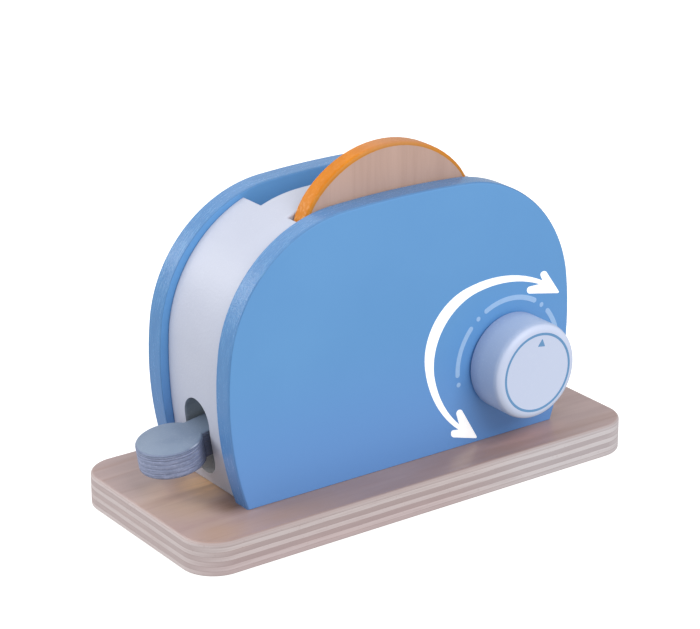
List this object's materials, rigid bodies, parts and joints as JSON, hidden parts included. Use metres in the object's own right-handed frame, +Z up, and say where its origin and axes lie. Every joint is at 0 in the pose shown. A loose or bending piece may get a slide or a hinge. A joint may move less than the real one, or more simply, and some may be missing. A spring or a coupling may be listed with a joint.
{
  "type": "toy toaster",
  "caption": "Wooden play toaster with blue side panels and a white core on a plywood board, with a popped-up toast slice, a grey rocking lever and a white turning knob.",
  "frame": {"origin": "centre of the base board's underside, which rests on the table", "axes": "+Z up, +X from the lever end towards the knob end, front panel and knob face -Y"},
  "size_m": [0.23, 0.1012, 0.1574],
  "materials": {
    "plywood_natural": "satin lacquer, plies showing on the edges",
    "blue_paint_on_wood": "satin paint",
    "white_paint_on_wood": "satin paint",
    "grey_paint_on_plywood": "matt paint",
    "bread_wood": "bare wood faces, painted edge",
    "beech_dowel": "bare",
    "steel": "plain",
    "fibre_washer": "plain",
    "nylon": "plain"
  },
  "bodies": {
    "chassis": {"base_board": "plywood_natural", "base_screws": "steel", "front_panel": "blue_paint_on_wood", "back_panel": "blue_paint_on_wood", "left_block": "white_paint_on_wood", "right_block": "white_paint_on_wood", "divider": "white_paint_on_wood", "panel_dowels": "beech_dowel", "divider_dowels": "beech_dowel", "lever_pin": "steel", "guide_rods": "steel", "axle_pin": "steel"},
    "lever": {"lever": "grey_paint_on_plywood", "lever_spacers": "nylon"},
    "lift": {"lift_tray": "plywood_natural", "lift_dowel": "beech_dowel"},
    "slice": {"bread_slice": "bread_wood"},
    "knob": {"knob": "white_paint_on_wood", "knob_axle": "beech_dowel", "knob_washer": "fibre_washer"}
  },
  "joints": [
    {"name": "lever_rock", "type": "hinge", "parent": "chassis", "child": "lever", "pos_m": [-0.062, 0.0032, 0.0398], "axis": [0, 1, 0], "range_deg": [0, 18]},
    {"name": "lift_slide", "type": "slide", "parent": "chassis", "child": "lift", "axis": [0, 0, -1], "range_m": [0, 0.0203]},
    {"name": "toast_lift_out", "type": "slide", "parent": "lift", "child": "slice", "axis": [0, 0, 1], "range_m": [0, 0.1]},
    {"name": "knob_turn", "type": "hinge", "parent": "chassis", "child": "knob", "pos_m": [0.058, -0.03, 0.0507], "axis": [0, -1, 0], "continuous": true}
  ],
  "couplings": [
    {"joint": "lift_slide", "follows": "lever_rock", "m_per_rad": 0.06453}
  ]
}
